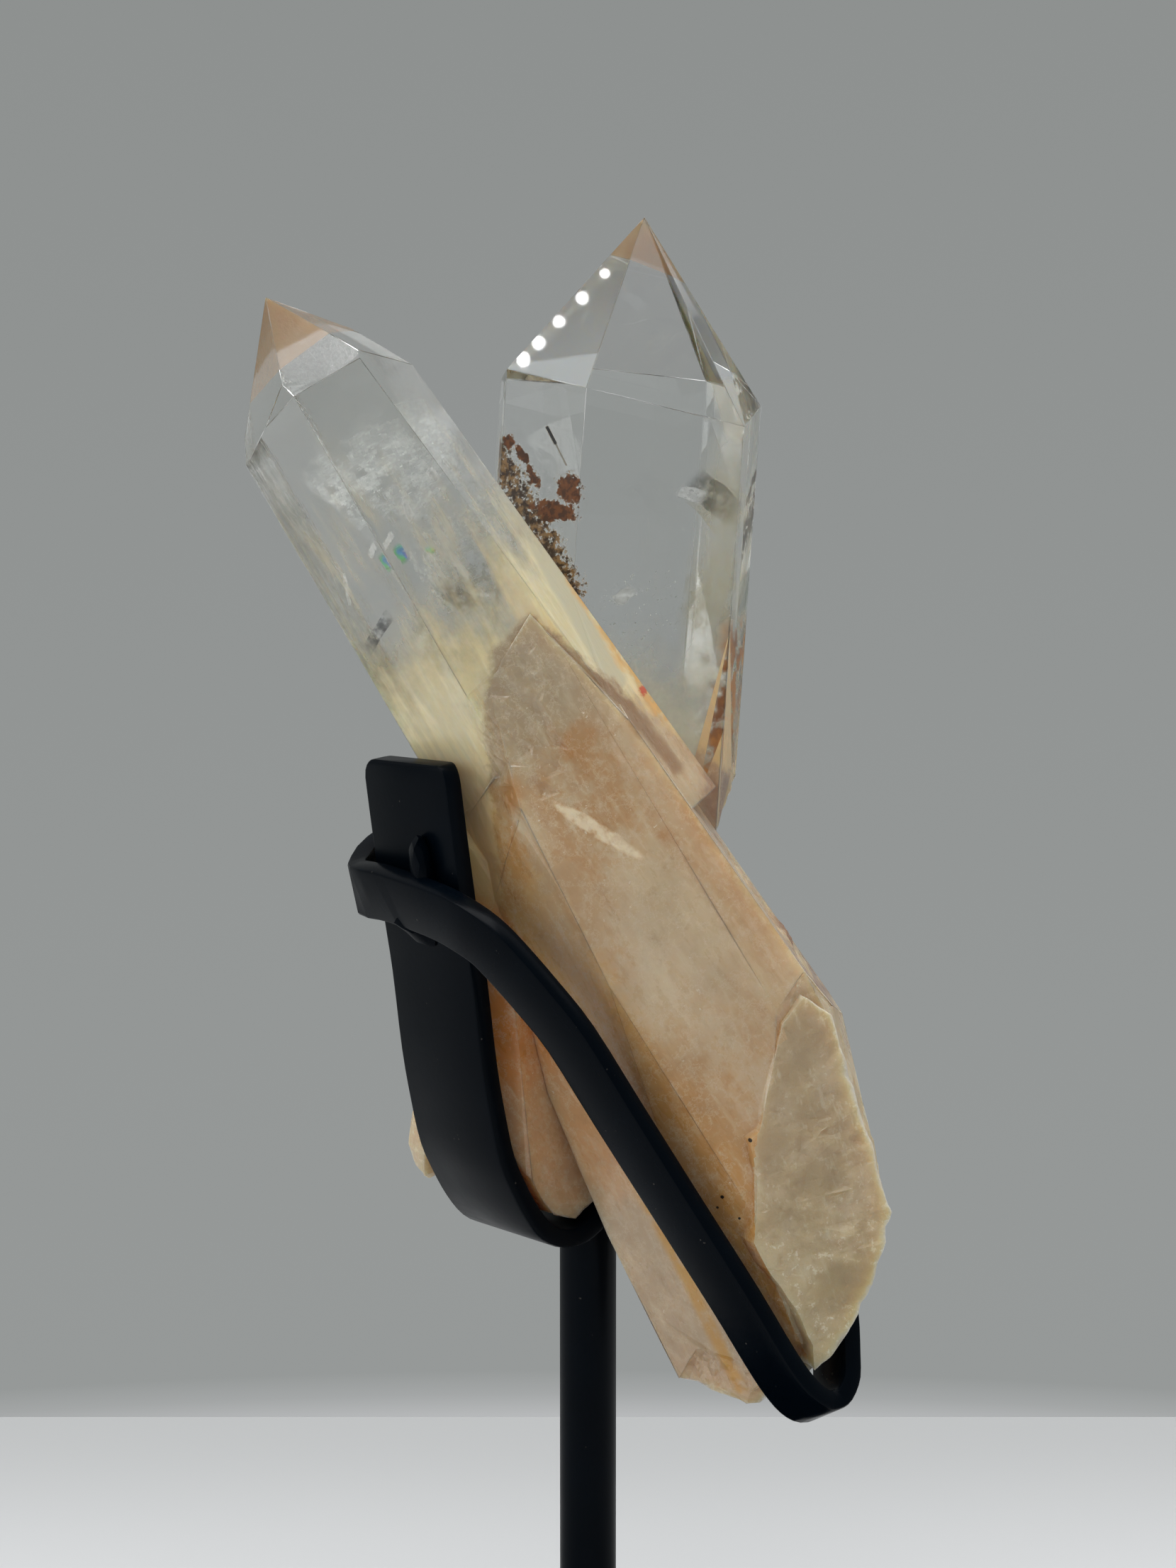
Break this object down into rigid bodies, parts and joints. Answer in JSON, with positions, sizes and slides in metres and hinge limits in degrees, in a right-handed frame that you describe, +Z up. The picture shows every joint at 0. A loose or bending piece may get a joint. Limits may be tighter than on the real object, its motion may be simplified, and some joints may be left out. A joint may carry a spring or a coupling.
{
  "type": "quartz twin tower on a stand",
  "caption": "Clear quartz twin tower with a cloudy, iron-stained foot, lying in a black steel cradle with a bent holding band on an upright post and a plain square base.",
  "frame": {"origin": "centre of the base plate's underside, below the axis of the post", "axes": "+Z up, +X to the viewer's right in the picture, +Y away from the viewer"},
  "size_m": [0.11, 0.11, 0.2649],
  "materials": {
    "quartz": "polished, clear in the two points, cloudy and stained peach in the body, broken and rough at the foot",
    "cradle_paint": "satin black paint",
    "band_paint": "satin black paint over hammered steel",
    "post_paint": "satin black paint",
    "base_paint": "satin black paint"
  },
  "bodies": {
    "root": {"quartz_twin_tower": "quartz", "cradle_strap": "cradle_paint", "holding_band": "band_paint", "post": "post_paint", "base_plate": "base_paint"}
  },
  "joints": []
}
